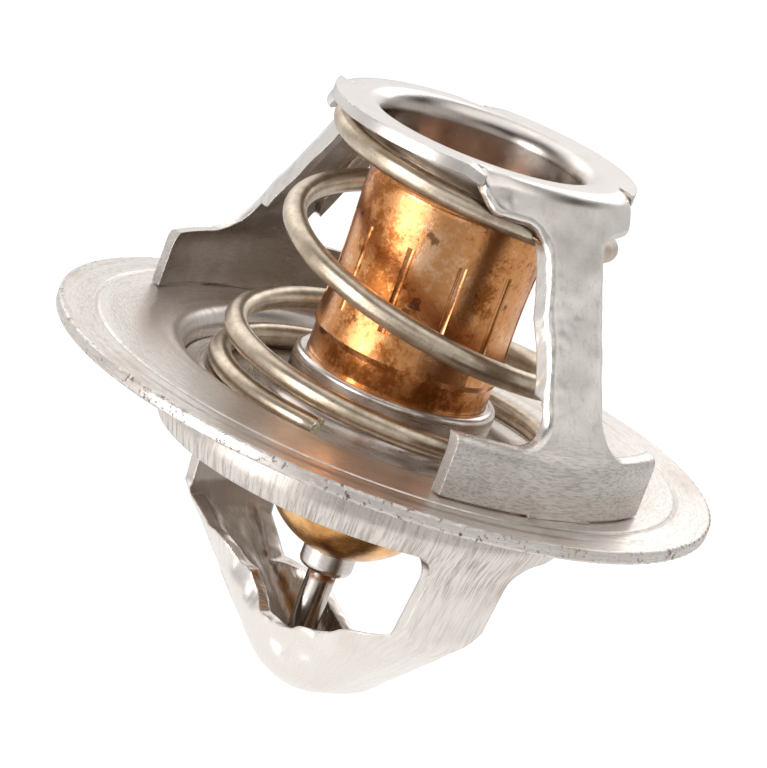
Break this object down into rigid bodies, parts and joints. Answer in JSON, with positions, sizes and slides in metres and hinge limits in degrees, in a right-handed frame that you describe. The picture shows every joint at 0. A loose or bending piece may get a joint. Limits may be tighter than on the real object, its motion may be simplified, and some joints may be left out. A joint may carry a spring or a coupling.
{
  "type": "engine thermostat",
  "caption": "Wax-capsule engine coolant valve: round clamping flange with a drawn skirt and bridge, spring yoke, conical return spring and a valve plate that a copper capsule lifts.",
  "frame": {"origin": "centre of the flange's underside, on the piston's axis", "axes": "+Z along the piston axis from the bridge's nose to the yoke's ring; the legs of bridge and yoke stand on the X axis, and the nose's lowest point lies a little towards +X"},
  "size_m": [0.0548, 0.0548, 0.0469],
  "materials": {
    "frame_steel": "drawn stainless sheet, fine vertical draw marks",
    "yoke_steel": "stamped stainless sheet, satin",
    "spring_steel": "drawn wire, satin nickel grey",
    "rod_steel": "ground rod, rust stained at its ends",
    "plate_steel": "pressed sheet, satin",
    "copper": "worn copper with dark patina",
    "brass": "turned brass, tarnished",
    "collar_steel": "satin",
    "washer_plastic": "white, plain",
    "rubber": "black, matt",
    "wax": "copper-filled wax"
  },
  "bodies": {
    "frame": {"flange_bridge": "frame_steel", "spring_yoke": "yoke_steel", "main_spring": "spring_steel", "piston_rod": "rod_steel"},
    "valve": {"valve_plate": "plate_steel", "copper_cup": "copper", "guide_body": "brass", "steel_collar": "collar_steel", "backing_washer": "washer_plastic", "rubber_boot": "rubber", "wax_charge": "wax"}
  },
  "joints": [
    {"name": "valve_lift", "type": "slide", "parent": "frame", "child": "valve", "axis": [0, 0, 1], "range_m": [0, 0.008], "stiffness_N_per_m": 3500, "springref_m": -0.02, "deforming": ["main_spring"]}
  ]
}
